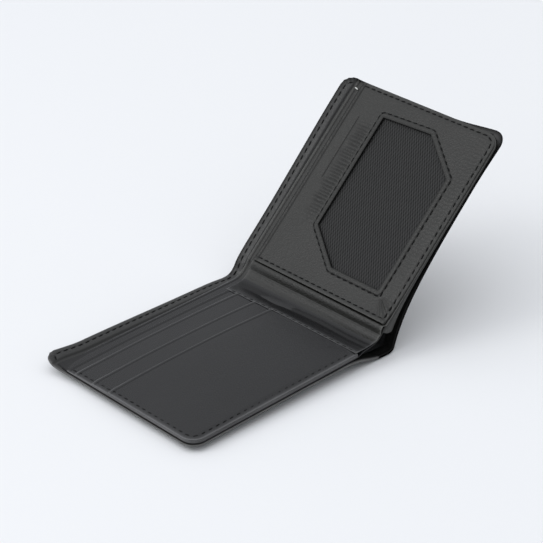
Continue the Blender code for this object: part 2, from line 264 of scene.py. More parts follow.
def graded(low, high, step, low_edge=True):
    """Places from low to high, close together near the edges that show."""
    end = high - NEAR_EDGE[-1]
    places = [np.array([low, high]), high - NEAR_EDGE]
    start = low
    if low_edge:
        places.append(low + NEAR_EDGE)
        start = low + NEAR_EDGE[-1]
    places.append(np.linspace(start, end, max(int((end - start) / step), 1) + 1))
    return np.unique(np.round(np.concatenate(places), 4))


# ---- The two halves ----

def side_name(on_card_side):
    return "card" if on_card_side else "id"


def side_reach(on_card_side):
    return CARD_REACH if on_card_side else ID_REACH


def squeeze(distance):
    """How much thinner the stack is close to its sewn edge."""
    return SQUEEZE * (1 - smooth(*SQUEEZE_STRIP, distance))


def in_card(reach, height):
    """x and z of a place of the card side."""
    return (-reach, height)


def in_id(reach, height):
    """x and z of a place of the ID side."""
    return (reach * math.cos(SPREAD) - height * math.sin(SPREAD),
            reach * math.sin(SPREAD) + height * math.cos(SPREAD))


def card_point(reach, y, height):
    """A place of the card side as a point of the wallet."""
    pressed = CARD_OUTER + (height - CARD_OUTER) * (1 - squeeze(edge_distance(reach, y, CARD_REACH)))
    tilt = CARD_TILT * np.maximum(reach - HINGE_REACH, 0)
    return np.stack([-reach, y + 0 * reach, pressed + tilt], axis=-1)


def id_point(reach, y, height):
    """A place of the ID side as a point of the wallet."""
    pressed = ID_OUTER + (height - ID_OUTER) * (1 - squeeze(edge_distance(reach, y, ID_REACH)))
    x, z = in_id(reach, pressed)
    return np.stack([x, y + 0 * reach, z], axis=-1)


def card_bulge(reach, y):
    """How far the card side's shell hangs out, most at the bottom seam."""
    return CARD_SLACK * np.exp(-(reach - SLACK_START) / CARD_SLACK_LENGTH) * (1 - 0.7 * y / LENGTH)


def id_bulge(reach, y):
    """How far the ID side's shell hangs out, with a second, short bulge towards the mouth."""
    swell = ID_SLACK * np.exp(-(reach - SLACK_START) / ID_SLACK_LENGTH) * (1 - y / LENGTH)
    short = MOUTH_SLACK * np.exp(-(reach - HINGE_REACH) / MOUTH_SLACK_LENGTH)
    return swell + short * smooth(50, 95, y)


def rim_lift(reach, y, lift, near, far):
    """How far a half's mouth rim curls up, growing away from the fold."""
    return lift * smooth(near, far, reach) * smooth(RIM_LINE, LENGTH, y)


def leaning(points):
    """Points of the wallet, tipped as it rests on the table, in metres."""
    c, s = math.cos(LEAN), math.sin(LEAN)
    return np.stack([points[..., 0] * c - points[..., 2] * s,
                     points[..., 1] + 0 * points[..., 0],
                     points[..., 0] * s + points[..., 2] * c], axis=-1) * MM


def to_row(points):
    """From the wallet's frame, in millimetres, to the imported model's, in metres."""
    return leaning(points) + ORIGIN


def find_origin():
    """Where the wallet's own origin lies, from the card side's hinge and its shell."""
    hinge = next(j for j in frame["joints"] if j["parent"] == "card_side")["pos_m"]
    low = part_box("shell_card_side")[0]
    own = leaning(np.array([-HINGE_REACH, 0.0, -HINGE_DEPTH]))
    return np.array([hinge[0], low.y, hinge[2]]) - own


ORIGIN = find_origin()


def across_fold(points):
    """How far points lie past the fold's middle plane, towards the ID side."""
    half = SPREAD / 2
    return ((points - MIDDLE) @ np.array([math.cos(half), 0, math.sin(half)]))


def blend_over_fold(piece, on_card_side):
    """Bakes the piece's transform into its points; nothing ties it to either half's body or to the fold."""
    if on_card_side:
        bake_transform(piece)
    else:
        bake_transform(piece)


# ---- Meshes ----

def new_piece(name, points, faces, material, wear_and_painted_light=None):
    """An object from points in the wallet's frame, with its rubbed edges, painted highlights and painted
    shade kept on the points.
    """
    mesh = bpy.data.meshes.new(name)
    mesh.from_pydata(to_row(points).tolist(), [], faces)
    if wear_and_painted_light is not None:
        attribute = mesh.attributes.new("wear_and_painted_light", "FLOAT", "POINT")
        attribute.data.foreach_set("value", wear_and_painted_light.astype(np.float32))
    mesh.shade_smooth()
    mesh.materials.append(material)
    piece = bpy.data.objects.new(name, mesh)
    bpy.context.scene.collection.objects.link(piece)
    return piece


def normals_of(grid):
    """Upward unit normals of a grid of points."""
    across = np.gradient(grid, axis=1)
    along = np.gradient(grid, axis=0)
    normal = np.cross(across, along)
    normal /= np.maximum(np.linalg.norm(normal, axis=-1, keepdims=True), 1e-9)
    return normal if normal[..., 2].sum() > 0 else -normal


def quads(index, cyclic):
    """The four-sided faces of a grid of point numbers; a cyclic grid closes on itself."""
    left = index if cyclic else index[:, :-1]
    right = np.roll(index, -1, axis=1) if cyclic else index[:, 1:]
    return np.stack([left[:-1], right[:-1], right[1:], left[1:]], axis=-1).reshape(-1, 4)


def closed_sheet(name, base, front, back, edge, material, radius=None, cyclic=False, normal=None,
                 cut=False, shade=None, tone=1.0):
    """A closed sheet of leather on a grid of base points.

    front and back are the heights of its two faces over the base, and edge is the distance
    in from its outline, where the two faces meet in a rounded edge. With cut, the first column
    is a flat cut across the fold's middle. shade is painted shade that darkens grooves, gaps and creases;
    tone lightens the edge, partly as rubbed wear and partly as a painted highlight.
    """
    normal = normals_of(base) if normal is None else normal
    middle, half = (front + back) / 2, (front - back) / 2
    if radius is None:
        radius = half
    share = rounded(edge, radius)
    share[[0, -1]] = 0
    if not cyclic:
        share[:, -1] = 0
        if not cut:
            share[:, 0] = 0
    top = base + normal * (middle + half * share)[..., None]
    bottom = base + normal * (middle - half * share)[..., None]
    rows, columns = edge.shape
    front_index = np.arange(rows * columns).reshape(rows, columns)
    back_index = front_index.copy()
    first = 0 if cut else 1
    inside = (slice(1, -1), slice(None)) if cyclic else (slice(1, -1), slice(first, -1))
    count = back_index[inside].size
    back_index[inside] = rows * columns + np.arange(count).reshape(back_index[inside].shape)
    points = np.concatenate([top.reshape(-1, 3), bottom[inside].reshape(-1, 3)])
    faces = np.concatenate([quads(front_index, cyclic), quads(back_index, cyclic)[:, ::-1]])
    corner = points[faces]
    volume = sum((corner[:, 0] * np.cross(corner[:, k], corner[:, k + 1])).sum() for k in (1, 2))
    faces = faces.tolist()
    if cut:
        for i in range(rows - 1):
            cap = [front_index[i, 0], back_index[i, 0], back_index[i + 1, 0], front_index[i + 1, 0]]
            faces.append([int(corner) for corner in dict.fromkeys(cap)])
    if volume < 0:
        faces = [face[::-1] for face in faces]
    # The edge strip is lightened by tone, as rubbed wear together with a painted highlight; shade is
    # subtracted from it as painted shade.
    rubbed_and_lit = tone * np.exp(-np.maximum(edge, 0) / RUBBED_AND_LIT_STRIP)
    if shade is not None:
        rubbed_and_lit = rubbed_and_lit - shade
    wear_and_painted_light = np.concatenate([rubbed_and_lit.reshape(-1), rubbed_and_lit[inside].reshape(-1)])
    piece = new_piece(name, points, faces, material, wear_and_painted_light)
    if cut:
        piece.data.set_sharp_from_angle(angle=SHARP_ANGLE)
    return piece


# ---- Materials ----

def add_node(tree, kind, output, inputs, **settings):
    """Adds a node, with each input set to a value or linked to a socket, and gives its output."""
    node = tree.nodes.new("ShaderNode" + kind)
    for name, value in settings.items():
        setattr(node, name, value)
    for name, value in inputs.items():
        feed(tree, node.inputs[name], value)
    return node.outputs[output]


def feed(tree, socket, value):
    if isinstance(value, bpy.types.NodeSocket):
        tree.links.new(value, socket)
    else:
        socket.default_value = value


class Nodes:
    """Short names for building a material's nodes."""

    def __init__(self, name):
        self.material = bpy.data.materials.new(name)
        self.material.use_nodes = True
        self.tree = self.material.node_tree
        self.place = self.add("TexCoord", "Object", {})

    def add(self, kind, output, inputs, **settings):
        return add_node(self.tree, kind, output, inputs, **settings)

    def scaled(self, scale):
        return self.add("Mapping", "Vector", {"Scale": scale, "Vector": self.place})

    def noise(self, scale, detail=3.0, place=None):
        return self.add("TexNoise", "Fac",
                        {"Scale": scale, "Detail": detail, "Vector": place or self.place})

    def cells(self, scale):
        return self.add("TexVoronoi", "Distance", {"Scale": scale, "Vector": self.place})

    def bands(self, scale, direction):
        return self.add("TexWave", "Fac", {"Scale": scale, "Vector": self.place},
                        bands_direction=direction)

    def math(self, operation, first, second):
        return self.add("Math", 0, {0: first, 1: second}, operation=operation)

    def ramp(self, value, low, high):
        """Maps 0..1 to low..high."""
        return self.add("MapRange", "Result", {"Value": value, "To Min": low, "To Max": high})

    def mix(self, share, first, second):
        """Mixes two colours, each a socket or three values."""
        first, second = [(*c, 1) if isinstance(c, tuple) else c for c in (first, second)]
        return self.add("Mix", 2, {"Factor": share, 6: first, 7: second}, data_type="RGBA")

    def attribute(self, name):
        return self.add("Attribute", "Fac", {}, attribute_name=name)

    def bump(self, height, distance, strength=1.0, normal=None):
        inputs = {"Distance": distance, "Strength": strength, "Height": height}
        if normal is not None:
            inputs["Normal"] = normal
        return self.add("Bump", "Normal", inputs)

    def shade(self, inputs):
        """Feeds the material's shader and gives the material."""
        shader = self.tree.nodes["Principled BSDF"]
        for name, value in inputs.items():
            feed(self.tree, shader.inputs[name], value)
        return self.material


def leather_material(name, dark, light, rubbed_and_lit, roughness, grain, depth, specular=0.5):
    """Grained leather: cells of a given size and depth, uneven tone, edges rubbed lighter together with a
    painted highlight, and painted shade.
    """
    nodes = Nodes(name)
    tone = nodes.noise(scale=55, detail=4)
    cell = nodes.cells(scale=1 / (grain * MM))
    fine = nodes.noise(scale=1.6 / (grain * MM), detail=4)
    colour = nodes.mix(tone, dark, light)
    speck = nodes.ramp(nodes.noise(scale=900, detail=2), low=0.0, high=0.35)
    colour = nodes.mix(speck, colour, light)
    # Above zero, the points' value lightens the colour towards the lighter edge colour, as rubbed wear
    # together with a painted highlight.
    wear_and_painted_light = nodes.attribute("wear_and_painted_light")
    patches = nodes.ramp(nodes.noise(scale=260, detail=3), low=0.45, high=1)
    rub_and_highlight = nodes.math("MULTIPLY", nodes.math("MAXIMUM", wear_and_painted_light, 0), patches)
    colour = nodes.mix(rub_and_highlight, colour, rubbed_and_lit)
    # Below zero, the points' value is painted shade: the colour goes near black and the gloss is lowered.
    pressed = nodes.math("MAXIMUM", nodes.math("MULTIPLY", wear_and_painted_light, -1), 0)
    colour = nodes.mix(pressed, colour, PAINTED_SHADE_COLOUR)
    uneven = nodes.ramp(cell, low=roughness - 0.05, high=roughness + 0.10)
    gloss = nodes.math("MULTIPLY", nodes.math("SUBTRACT", 1.0, pressed), specular)
    rough = nodes.bump(fine, distance=depth * 0.6 * MM)
    soft = nodes.bump(nodes.noise(scale=120, detail=3), distance=0.25 * MM, strength=0.5, normal=rough)
    normal = nodes.bump(cell, distance=depth * MM, normal=soft)
    return nodes.shade({"Base Color": colour, "Roughness": uneven, "Specular IOR Level": gloss,
                        "Normal": normal})


def cloth_material(name, dark, light, pitch, depth, roughness):
    """A plain weave from two crossed sets of threads."""
    nodes = Nodes(name)
    scale = BANDS_PER_UNIT / (pitch * MM)
    weave = nodes.math("MULTIPLY", nodes.bands(scale, "X"), nodes.bands(scale, "Y"))
    return nodes.shade({"Base Color": nodes.mix(weave, dark, light), "Roughness": roughness,
                        "Sheen Weight": 0.15, "Normal": nodes.bump(weave, distance=depth * MM)})


def mesh_material():
    """Woven mesh: its colour and gloss follow the thread height, a painted shade in the gaps and a painted
    sheen on the thread tops.
    """
    nodes = Nodes("window_mesh")
    height = nodes.attribute("wear_and_painted_light")
    patches = nodes.ramp(nodes.noise(scale=500, detail=2), low=0.6, high=1.3)
    uneven = nodes.math("MULTIPLY", height, patches)
    # Thread height sets the colour: painted shade in the gaps, lighter thread tops.
    colour = nodes.mix(uneven, (0.002, 0.002, 0.002), (0.026, 0.026, 0.026))
    fibres = nodes.noise(scale=3000, detail=2)
    return nodes.shade({"Base Color": colour, "Roughness": 0.6,
                        "Specular IOR Level": nodes.ramp(height, low=0.02, high=0.4),
                        "Normal": nodes.bump(fibres, distance=0.03 * MM)})


def thread_material():
    """Black sewing thread."""
    nodes = Nodes("sewing_thread")
    twist = nodes.noise(scale=2500, detail=2, place=nodes.scaled((1, 3, 1)))
    colour = nodes.mix(twist, (0.003, 0.003, 0.003), (0.009, 0.009, 0.009))
    return nodes.shade({"Base Color": colour, "Roughness": 0.6, "Specular IOR Level": 0.08,
                        "Normal": nodes.bump(twist, distance=0.05 * MM)})


def pale_fleck_material():
    """Off-white colour of a small pale fleck."""
    nodes = Nodes("pale_fleck_colour")
    twist = nodes.noise(scale=2500, detail=2)
    return nodes.shade({"Base Color": nodes.mix(twist, (0.55, 0.55, 0.53), (0.75, 0.75, 0.72)),
                        "Roughness": 0.5})


def floor_material():
    """A matt, almost white table."""
    nodes = Nodes("pale_floor")
    colour = nodes.mix(nodes.noise(scale=3, detail=1), (0.80, 0.81, 0.83), (0.83, 0.835, 0.845))
    return nodes.shade({"Base Color": colour, "Roughness": 0.7})


# ---- Flat layers of one half ----

def top_line(y, top, offset, width=0.3):
    """A line pressed along a layer's upper edge."""
    return bump(top - y, offset, width)


def lip(distance):
    """The slightly raised lip along an upper edge."""
    return LIP * bump(distance, LIP_PLACE, LIP_WIDTH)


def sway(reach, y, lengths):
    """Low, slow waves, because leather never lies quite flat."""
    a, b, c, d = lengths
    return SWAY * np.sin(reach / a + y / b) * np.sin(reach / c + y / d)


def flat_layer(name, point, end, start, top, height, material, thickness=LEATHER, edge_shade=0.0,
               swell=0.0):
    """A flat layer with a rounded free corner and a straight, rounded upper edge.

    Painted shade darkens the upper edge by the given amount, for the dark gap behind it; swell lifts the
    layer's middle.
    """
    step = 1.6
    low = LAYER_INSET
    y = graded(low, top, step)
    share = (graded(start, end, step) - start) / (end - start)
    rim = free_edge(y, end, low)[:, None]
    reach = start + share[None, :] * (rim - start)
    across = np.broadcast_to(y[:, None], reach.shape)
    edge = np.minimum(edge_distance(reach, across, end, low), top - across)
    edge = np.minimum(edge, reach - start)
    line = top_line(across, top, 1.9)
    bow = np.sin(math.pi * np.clip((reach - LAYER_START) / SWELL_WIDTH, 0, 1))
    rise = swell * bow * (1 - (2 * across / LENGTH - 1) ** 2)
    wave = rise + sway(reach, across, (17, 9, 11, -23))
    roll = rolled(edge_distance(reach, across, end, low), radius=1.3, depth=0.3)
    front = height + lip(top - across) + wave - LINE_DEPTH * line - roll
    back = np.full_like(front, height - thickness)
    base = point(reach, across, 0 * reach)
    shift = point(reach, across, front) - base
    normal = point(reach, across, 1 + 0 * reach) - base
    normal /= np.linalg.norm(normal, axis=-1, keepdims=True)
    pressed_front = (shift * normal).sum(-1)
    pressed_back = ((point(reach, across, back) - base) * normal).sum(-1)
    # Painted shade in the pressed line and along the upper edge; tone=2.0 lightens the outline, as rubbed
    # wear together with a painted highlight.
    shade = 0.5 * line + edge_shade * np.exp(-np.maximum(top - across, 0) / EDGE_SHADE_STRIP)
    return closed_sheet(name, base, pressed_front, pressed_back, edge, material, normal=normal,
                        shade=shade, tone=2.0)


# ---- Sheets across the fold ----

def cubic(start, leave, arrive, end, t):
    """Points of a Bezier curve."""
    u = 1 - t
    return u ** 3 * start + 3 * u ** 2 * t * leave + 3 * u * t ** 2 * arrive + t ** 3 * end


def unit(vectors):
    return vectors / np.linalg.norm(vectors, axis=-1, keepdims=True)


def crossing(card_surface, id_surface, card_pull, id_pull):
    """A surface from the card side across the fold to the ID side.

    place is minus the reach on the card side and the reach on the ID side; between the two
    hinges it runs along a smooth bend.
    """
    step = 0.25

    def surface(place, y):
        reach = np.maximum(np.abs(place), HINGE_REACH)
        hinge = np.full_like(place, HINGE_REACH)
        start = card_surface(hinge, y)
        end = id_surface(hinge, y)
        leave = start + unit(start - card_surface(hinge + step, y)) * card_pull(y)[..., None]
        arrive = end - unit(id_surface(hinge + step, y) - end) * id_pull(y)[..., None]
        t = np.clip((place + HINGE_REACH) / (2 * HINGE_REACH), 0, 1)[..., None]
        bend = cubic(start, leave, arrive, end, t)
        on_card = (place < -HINGE_REACH)[..., None]
        on_id = (place > HINGE_REACH)[..., None]
        return np.where(on_card, card_surface(reach, y), np.where(on_id, id_surface(reach, y), bend))
    return surface


def middle_place(surface, y):
    """Where along a crossing surface the fold's middle plane cuts it, for each y."""
    samples = 241
    places = np.linspace(-HINGE_REACH, HINGE_REACH, samples)
    grid_place = np.broadcast_to(places[None, :], (len(y), len(places)))
    grid_y = np.broadcast_to(y[:, None], grid_place.shape)
    past = across_fold(surface(grid_place, grid_y))
    return np.array([np.interp(0, row, places) for row in past])


def half_grid(surface, y, outline, on_card_side, step=1.6):
    """Places and y of one half's grid, from the fold's middle to the outline."""
    fold_step = 0.45
    middle = middle_place(surface, y)[:, None]
    end = outline(y)[:, None]
    longest = end.max()
    hinge = -HINGE_REACH if on_card_side else HINGE_REACH
    bend = np.linspace(0, 1, int(HINGE_REACH / fold_step) + 1)
    near = HINGE_REACH + NEAR_FOLD
    flat = np.concatenate([near, graded(near[-1] + step, longest, step, low_edge=False)])
    share = (flat - HINGE_REACH) / (longest - HINGE_REACH)
    sign = -1 if on_card_side else 1
    place = np.concatenate([middle + bend[None, :] * (hinge - middle),
                            sign * (HINGE_REACH + share[None, :] * (end - HINGE_REACH))], axis=1)
    return place, np.broadcast_to(y[:, None], place.shape)


# ---- The shell ----

def shell_card(reach, y):
    """The shell's inner face on the card side, with its mouth corner flaring out and up."""
    corner = smooth(86, 105, reach) * smooth(74, LENGTH, y)
    lift = rim_lift(reach, y, CARD_RIM_LIFT, near=12, far=95)
    height = CARD_OUTER + SHELL - card_bulge(reach, y) + lift + 0.9 * corner
    return card_point(reach + 1.6 * corner, y + 1.9 * corner, height)


def shell_id(reach, y):
    """The shell's inner face on the ID side, with its bottom corner flaring out and back."""
    corner = smooth(84, 108, reach) * (1 - smooth(0, 30, y))
    lift = rim_lift(reach, y, ID_RIM_LIFT, near=25, far=100)
    height = ID_OUTER + SHELL - id_bulge(reach, y) + lift - 0.8 * corner
    return id_point(reach + 2.6 * corner, y - 0.3 * corner, height)


def shell_card_pull(y):
    """How straight the shell leaves the card side."""
    return 7.0 - 1.5 * y / LENGTH


def shell_id_pull(y):
    """How straight the shell reaches the ID side."""
    return 5.0 - 0.2 * y / LENGTH


def rested(surface):
    """The surface, pressed flat where it would sink into the table it rests on."""
    def rest(place, y):
        points = surface(place, y)
        lean = np.array([math.sin(LEAN), 0, math.cos(LEAN)])
        sunk = TABLE + SHELL - points @ lean - ORIGIN[2] / MM
        points[..., 2] += (sunk + np.sqrt(sunk ** 2 + TABLE_SOFTNESS ** 2)) / 2
        return points
    return rest


SHELL_SURFACE = rested(crossing(shell_card, shell_id, shell_card_pull, shell_id_pull))


def build_shell(on_card_side, material):
    """One half of the outer shell, with its turned mouth facing and bottom edge."""
    end = side_reach(on_card_side)
    fine_strip, fine_count = 8, 21
    fine = LENGTH - np.linspace(0, fine_strip, fine_count)
    y = np.unique(np.concatenate([graded(0, LENGTH, 1.8), fine]))
    place, along = half_grid(SHELL_SURFACE, y, lambda v: free_edge(v, end, 0, LENGTH), on_card_side)
    reach = np.abs(place)
    base = SHELL_SURFACE(place, along)
    edge = edge_distance(reach, along, end, 0, LENGTH)
    mouth = edge_distance(reach, along, end, -FAR, LENGTH)
    facing = (1 - smooth(*FACING_EDGE, mouth)) * smooth(*FACING_LINE, along)
    near_fold = 1 - smooth(10, 26 if on_card_side else 52, reach)
    hem = (1 - smooth(*BOTTOM_HEM, along)) * near_fold
    turned = TURNED * np.maximum(facing, hem)
    seam = 0.16 * bump(mouth, MOUTH_SEAM, 0.4) * facing
    angle = np.arctan2(along - (LENGTH - CORNER), reach - (end - CORNER))
    in_corner = smooth(0.05, 0.3, angle) * (1 - smooth(1.25, 1.5, angle)) * (reach > end - CORNER)
    pleats = PLEAT * np.cos(angle * PLEATS_PER_RADIAN) * in_corner * smooth(2.2, 4.5, CORNER - mouth)
    front = turned - seam + pleats * facing
    back = np.full_like(front, -SHELL)
    radius = np.maximum((front - back) / 2, 0.35)
    # Painted shade in the mouth seam's groove and, on the ID side, along the outline; the ID side's
    # negative tone darkens its edge as painted shade, and the card side's tone lightens its edge as rubbed
    # wear with a painted highlight.
    shade = 0.2 * bump(mouth, MOUTH_SEAM, 0.35) * facing
    if not on_card_side:
        shade = shade + 0.5 * (1 - smooth(0.8, 2.5, edge))
    piece = closed_sheet("shell_" + side_name(on_card_side) + "_half", base, front, back, edge,
                         material, radius, cut=True, shade=shade, tone=1.0 if on_card_side else -0.6)
    blend_over_fold(piece, on_card_side)
    if on_card_side:
        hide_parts("shell_card_side", "shell_spine", "mouth_facing_card_side",
                    "mouth_facing_spine")
    else:
        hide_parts("shell_id_side", "mouth_facing_id_side")


def build_lining(on_card_side, material):
    """Thin cloth on the shell's inner face, from the turned bottom edge to the facing."""
    low, high = LINING_LOW, LINING_HIGH
    y = np.linspace(low, high, 34)
    end = side_reach(on_card_side) - LINING_INSET
    place, along = half_grid(SHELL_SURFACE, y, lambda v: np.full_like(v, end), on_card_side, step=3.0)
    base = SHELL_SURFACE(place, along)
    edge = np.minimum(np.minimum(along - low, high - along), end - np.abs(place))
    front = np.full(edge.shape, LINING_FRONT)
    back = np.full(edge.shape, LINING_BACK)
    side = side_name(on_card_side)
    piece = closed_sheet("lining_" + side + "_half", base, front, back, edge, material, radius=0.08,
                         cut=True)
    blend_over_fold(piece, on_card_side)
    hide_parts(*(["lining_card_side", "lining_spine"] if on_card_side
                         else ["lining_id_side"]))


# ---- The backing, whose upper edge is the second of the four lines at the mouth ----

def backing_card(reach, y):
    """The backing's upper face on the card side."""
    rise = 1.5 * (1 - smooth(4.5, 9.0, reach)) * (1 - smooth(55, 89, y))
    return card_point(reach, y, BACKING[0] + rise)


def backing_id(reach, y):
    """The backing's upper face on the ID side."""
    sink = 1.0 * (1 - smooth(5.5, 10.5, reach)) * smooth(40, 89, y)
    return id_point(reach, y, ID_BACKING - sink)


def backing_pull(y):
    """How straight the backing leaves either side."""
    return 3.4 + 1.3 * y / LENGTH


BACKING_SURFACE = crossing(backing_card, backing_id, backing_pull, backing_pull)


def build_backing(on_card_side, material):
    """One half of the compartment's front wall."""
    end = side_reach(on_card_side) - LAYER_INSET
    high = BACKING[1]
    y = graded(LAYER_INSET, high, 1.8)
    place, along = half_grid(BACKING_SURFACE, y, lambda v: free_edge(v, end, LAYER_INSET), on_card_side)
    reach = np.abs(place)
    base = BACKING_SURFACE(place, along)
    edge = np.minimum(edge_distance(reach, along, end, LAYER_INSET), high - along)
    line = top_line(along, high, 1.7)
    front = lip(high - along) - LINE_DEPTH * line
    thickness = np.full_like(front, 0.36)
    if not on_card_side:
        swell = 0.7 + STACK_SWELL * np.exp(-np.maximum(reach - 10.5, 0) / STACK_SWELL_LENGTH)
        tip = np.sqrt(1 - np.clip((STACK_TIP - reach) / STACK_TIP_RADIUS, 0, 1) ** 2)
        thickness = thickness + swell * tip * np.exp(-((along - LAYER_INSET) / STACK_SWELL_DEPTH) ** 1.5)
    radius = np.clip(thickness / 2, 0.16, 0.9)
    # Painted shade in the pressed line and along the free edge; the upper edge is lightened as a painted
    # highlight.
    shade = 0.8 * line - 1.2 * np.exp(-(high - along) / 0.45) + 1.4 * np.exp(-(end - reach) / 0.5)
    piece = closed_sheet("backing_" + side_name(on_card_side) + "_half", base, front, -thickness,
                         edge, material, radius, cut=True, shade=shade, tone=0.3)
    blend_over_fold(piece, on_card_side)
    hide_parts(*(["backing_card_side", "backing_spine"] if on_card_side
                         else ["backing_id_side"]))


# ---- The gusset ----

# Each pair is a point of the gusset's upper face at its bottom end and at its mouth end.
GUSSET_LINE = [
    (in_card(GUSSET_FOLD, 0.52), in_card(GUSSET_FOLD, 0.52)),
    (in_card(9.2, 0.58), in_card(9.2, 0.55)),
    (in_card(7.2, 0.50), in_card(7.2, 0.05)),
    (in_card(4.2, 0.40), in_card(4.2, -0.95)),
    (in_card(1.6, 0.48), in_card(1.6, -0.85)),
    (in_card(-0.6, 0.75), in_card(-0.6, -0.20)),
    (in_id(2.9, -0.88), in_id(2.8, -0.85)),
    (in_id(4.4, -0.80), in_id(4.3, -0.75)),
    (in_id(5.2, -0.98), in_id(5.2, -0.92)),
    (in_id(5.9, -0.55), in_id(5.9, -0.50)),
    (in_id(7.0, 0.22), in_id(7.0, 0.25)),
    (in_id(8.2, 0.58), in_id(8.2, 0.60)),
    (in_id(9.3, 0.42), in_id(9.3, 0.42)),
    (in_id(10.0, -0.45), in_id(10.0, -0.45)),
    (in_id(10.6, -0.76), in_id(10.6, -0.76)),
    (in_id(13.2, -0.76), in_id(13.2, -0.76)),
]
# The knot at which the gusset crosses the fold's middle, its two ends and its thickness.
GUSSET_MIDDLE = 5
GUSSET_LOW = 0.5
GUSSET_HIGH = 84.0
GUSSET_THICKNESS = 0.42


def catmull_rom(points, t):
    """Smooth line through points, an array (knots, ..., 2), at parameter t from 0 to knots-1."""
    last = len(points) - 1
    i = np.clip(np.floor(t).astype(int), 0, last - 1)
    f = (t - i)[:, None, None]
    before, here = points[np.maximum(i - 1, 0)], points[i]
    there, after = points[i + 1], points[np.minimum(i + 2, last)]
    return 0.5 * (2 * here + (there - before) * f + (2 * before - 5 * here + 4 * there - after) * f ** 2
                  + (3 * here - before - 3 * there + after) * f ** 3)


def gusset_drop(y):
    """How far the gusset's folded edge sinks as the pockets under it end."""
    drop = 0
    for upper, lower in ((FRONT_POCKET, SLOT_LOWER), (SLOT_LOWER, SLOT_UPPER), (SLOT_UPPER, CARD_PANEL)):
        drop = drop + (upper[0] - lower[0]) * smooth(upper[1] - 3, upper[1] + 3, y)
    return drop


def gusset_grid(t, y):
    """Points on the gusset's upper face."""
    share = smooth(0, GUSSET_HIGH, y)[None, :, None]
    bottom = np.array([pair[0] for pair in GUSSET_LINE])[:, None, :]
    mouth = np.array([pair[1] for pair in GUSSET_LINE])[:, None, :]
    knots = bottom * (1 - share) + mouth * share
    line = catmull_rom(knots, t)
    grid = np.empty((len(y), len(t), 3))
    grid[..., 0] = line[..., 0].T
    grid[..., 1] = y[:, None]
    near_edge = (1 - smooth(1.0, 3.6, t))[None, :]
    grid[..., 2] = line[..., 1].T - gusset_drop(y)[:, None] * near_edge
    return grid


def build_gusset(on_card_side, material):
    """One half of the soft strip that joins the two interiors over the fold."""
    low, high = GUSSET_LOW, GUSSET_HIGH
    y = graded(low, high, 1.5)
    last = len(GUSSET_LINE) - 1
    if on_card_side:
        t = np.concatenate([np.linspace(GUSSET_MIDDLE, 0.85, 34),
                            np.array([0.7, 0.55, 0.4, 0.28, 0.16, 0.08, 0.03, 0])])
    else:
        t = np.linspace(GUSSET_MIDDLE, last, 70)
    base = gusset_grid(t, y)
    along = np.broadcast_to(y[:, None], base.shape[:2])
    edge = np.minimum(along - low, high - along)
    if on_card_side:
        folded = np.broadcast_to((-base[..., 0]), edge.shape)
        edge = np.minimum(edge, GUSSET_FOLD - folded)
        seam = 0.12 * bump(folded, GUSSET_SEAM, 0.3)
    else:
        seam = 0 * edge
    x = base[..., 0]
    creases = 0.06 * np.sin(x * 1.9 + 0.8 * np.sin(along / 7)) * smooth(-8, -2, x) * (1 - smooth(2, 5, x))
    # Painted shade in the valley of the card-side half, where the dark ID side is reflected.
    painted_valley_shade = 0.45 * smooth(-9.5, -7, x) * (1 - smooth(-2.5, 1.5, x))
    piece = closed_sheet("gusset_" + side_name(on_card_side) + "_half", base, creases - seam,
                         -GUSSET_THICKNESS + 0 * edge, edge, material, radius=0.22, cut=True,
                         shade=painted_valley_shade)
    blend_over_fold(piece, on_card_side)
    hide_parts(*(["gusset_card_flange", "gusset_spine"] if on_card_side
                         else ["gusset_id_flange"]))


# ---- The ID panel ----

def polygon_distance(x, y, corners):
    """Distance outwards from a convex polygon whose corners run anticlockwise."""
    outside = np.full(x.shape, np.inf)
    inside = np.full(x.shape, -np.inf)
    for (ax, ay), (bx, by) in zip(corners, corners[1:] + corners[:1]):
        dx, dy = bx - ax, by - ay
        length = math.hypot(dx, dy)
        t = np.clip(((x - ax) * dx + (y - ay) * dy) / length ** 2, 0, 1)
        outside = np.minimum(outside, np.hypot(x - ax - t * dx, y - ay - t * dy))
        inside = np.maximum(inside, ((x - ax) * dy - (y - ay) * dx) / length)
    return np.where(inside > 0, outside, inside)


def lengths_along(points):
    """How far along a line each of its points lies."""
    steps = np.linalg.norm(np.diff(points, axis=0), axis=1)
    return np.concatenate([[0], np.cumsum(steps)])


def along_polyline(points, count):
    """Evenly spaced points along a line, without its last point."""
    points = np.array(points, float)
    at = lengths_along(points)
    where = np.linspace(0, at[-1], count, endpoint=False)
    return np.stack([np.interp(where, at, points[:, 0]), np.interp(where, at, points[:, 1])], axis=-1)


def panel_outline():
    """The panel's outer edge, in six runs that face the window's six sides."""
    left, right = HEM, ID_REACH - LAYER_INSET
    low, high = LAYER_INSET, ID_PANEL_TOP
    turn = [(right - CORNER + CORNER * math.sin(a), low + CORNER - CORNER * math.cos(a))
            for a in np.linspace(0, math.pi / 2, 12)]
    return [
        [(left, low), (82, low)],
        [(82, low)] + turn + [(right, 33)],
        [(right, 33), (right, 72)],
        [(right, 72), (right, high), (34, high)],
        [(34, high), (left, high), (left, 50)],
        [(left, 50), (left, low)],
    ]


def hem_curl(reach, y):
    """How far the panel lifts towards its hem, most at the bottom seam."""
    return (0.35 + 1.0 * (1 - y / ID_PANEL_TOP)) * np.exp(-(reach - HEM) / HEM_CURL_LENGTH)


def pressed_line(reach, y, width):
    """The pressed line between the window and the mouth."""
    return bump(y, PRESSED_LINE, width) * smooth(57.5, 59, reach) * (1 - smooth(90.5, 92, reach))


def wrinkle(reach, y):
    """Fine crosswise wrinkles above the window, from -1 to 1."""
    crossways = np.sin(reach * 3.7 + 0.5 * np.sin(y * 0.3) + 0.9 * np.sin(reach * 0.6))
    short = smooth(65, 67, y) * (1 - smooth(70, 77 + 2 * np.sin(reach * 0.8), y))
    strength = smooth(30, 50, reach) * (1 - smooth(84, 95, reach))
    return crossways * short * strength


